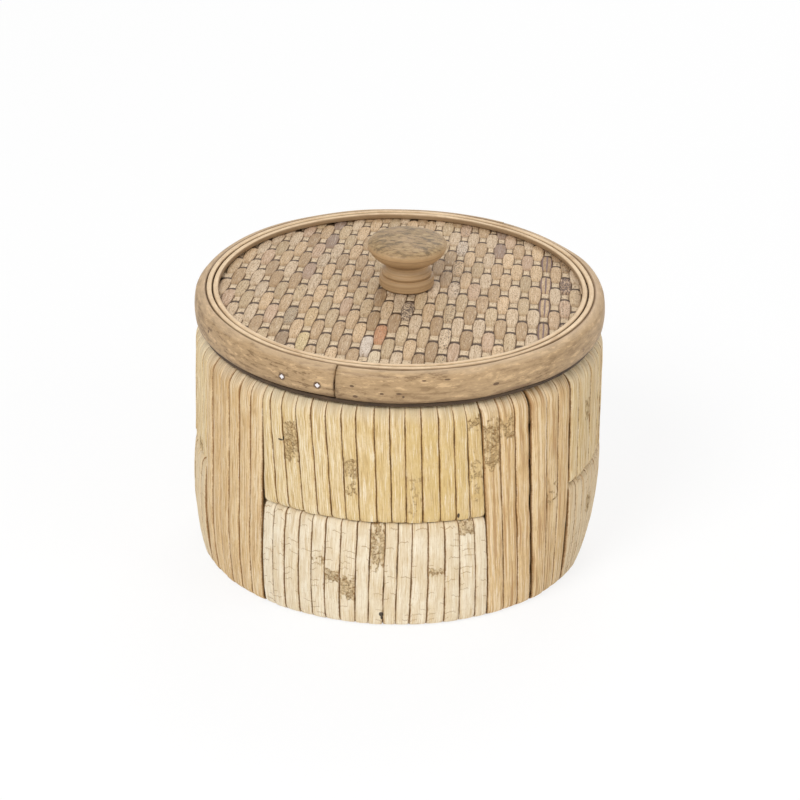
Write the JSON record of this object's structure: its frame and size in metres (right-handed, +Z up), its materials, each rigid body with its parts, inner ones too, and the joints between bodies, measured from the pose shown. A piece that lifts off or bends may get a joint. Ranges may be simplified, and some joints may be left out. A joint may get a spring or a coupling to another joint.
{
  "type": "lidded rattan box",
  "caption": "Round box of wrapped rattan hoops with a woven cane lift-off lid and a turned wooden knob.",
  "frame": {"origin": "centre of the box on the surface that it stands on", "axes": "+Z up along the box's axis, -Y towards the front, +X to the right seen from the front"},
  "size_m": [0.2014, 0.2015, 0.1646],
  "materials": {
    "straw_cane": "satin natural cane skin",
    "pale_cane": "satin natural cane skin",
    "tan_cane": "satin natural cane skin",
    "edge_cane": "satin split cane",
    "hoop_rattan": "satin rattan pole skin",
    "pole_rattan": "matt planed rattan",
    "woven_cane": "matt woven cane",
    "knob_wood": "satin turned wood",
    "dark_wood": "matt dark wood",
    "steel": "worn steel"
  },
  "bodies": {
    "box": {"lower_pole_hoop_1": "pole_rattan", "lower_pole_hoop_2": "pole_rattan", "lower_pole_hoop_3": "pole_rattan", "upper_pole_hoop_1": "pole_rattan", "upper_pole_hoop_2": "pole_rattan", "upper_pole_hoop_3": "pole_rattan", "lower_wrap_front": "pale_cane", "lower_wrap_right": "pale_cane", "lower_wrap_back": "pale_cane", "lower_wrap_left": "pale_cane", "upper_wrap_front": "straw_cane", "upper_wrap_right": "straw_cane", "upper_wrap_back": "straw_cane", "upper_wrap_left": "straw_cane", "binding_wrap_left": "tan_cane", "binding_wrap_right": "tan_cane", "binding_wrap_back_right": "tan_cane", "binding_wrap_back_left": "tan_cane", "bottom_ledge_hoop": "pole_rattan", "bottom_panel": "woven_cane", "bottom_cover_hoop": "pole_rattan"},
    "lid": {"lid_seat_ring": "dark_wood", "lid_locating_ring": "pole_rattan", "lid_frame_hoop": "pole_rattan", "lid_hoop_left": "hoop_rattan", "lid_hoop_right": "hoop_rattan", "lid_edge_strip_outer": "edge_cane", "lid_edge_strip_inner": "edge_cane", "woven_panel": "woven_cane", "knob_backing_disc": "dark_wood", "knob_washer": "steel", "knob_screw": "steel", "knob": "knob_wood", "hoop_nail_1": "steel", "hoop_nail_2": "steel", "hoop_nail_3": "steel", "hoop_nail_4": "steel", "hoop_nail_5": "steel", "hoop_nail_6": "steel", "hoop_nail_7": "steel", "hoop_nail_8": "steel", "hoop_nail_9": "steel", "hoop_nail_10": "steel", "hoop_nail_11": "steel", "hoop_nail_12": "steel"}
  },
  "joints": [
    {"name": "lid_lift", "type": "slide", "parent": "box", "child": "lid", "axis": [0, 0, 1], "range_m": [0, 0.11]}
  ]
}
